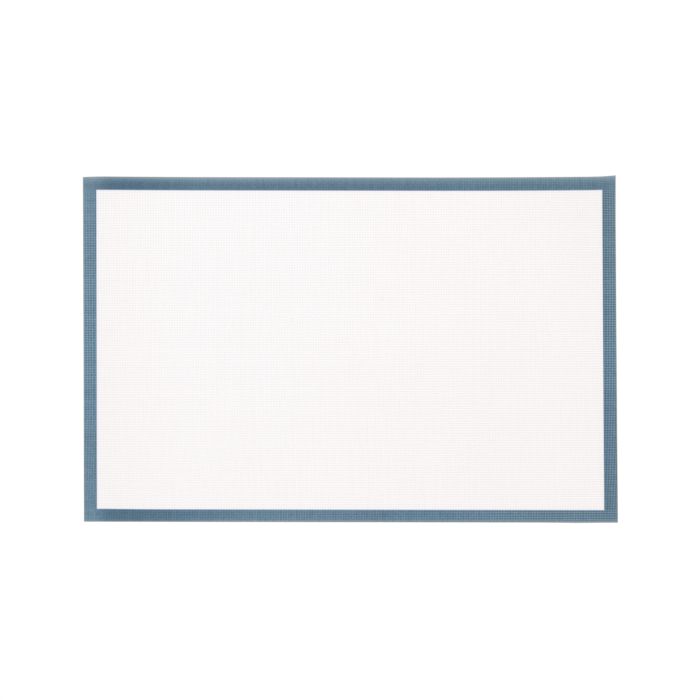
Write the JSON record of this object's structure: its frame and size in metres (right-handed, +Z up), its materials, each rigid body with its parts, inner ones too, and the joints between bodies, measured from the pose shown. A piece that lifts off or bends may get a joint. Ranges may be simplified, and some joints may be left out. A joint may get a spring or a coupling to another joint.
{
  "type": "silicone baking mat",
  "caption": "Thin rectangular baking mat of woven glass-fibre cloth coated with silicone on both faces, with a printed border band, laid in a tray as a non-stick liner.",
  "frame": {"origin": "centre of the underside, on the surface that the mat lies on", "axes": "+X along the long side towards the more curled far corner, +Y along the short side towards the far edge, +Z up out of the baking face"},
  "size_m": [0.585, 0.385, 0.0087],
  "materials": {
    "bottom_silicone": "translucent off-white silicone, satin, with the weave of the cloth pressed through",
    "glass_cloth": "plain-woven glass-fibre cloth soaked with silicone",
    "top_silicone": "off-white silicone, satin, with the weave of the cloth pressed through",
    "border_print": "grey-blue pigmented silicone, satin, with the weave of the cloth showing through"
  },
  "bodies": {
    "root": {"bottom_silicone_coat": "bottom_silicone", "glass_cloth": "glass_cloth", "top_silicone_coat": "top_silicone", "border_print": "border_print"}
  },
  "joints": []
}
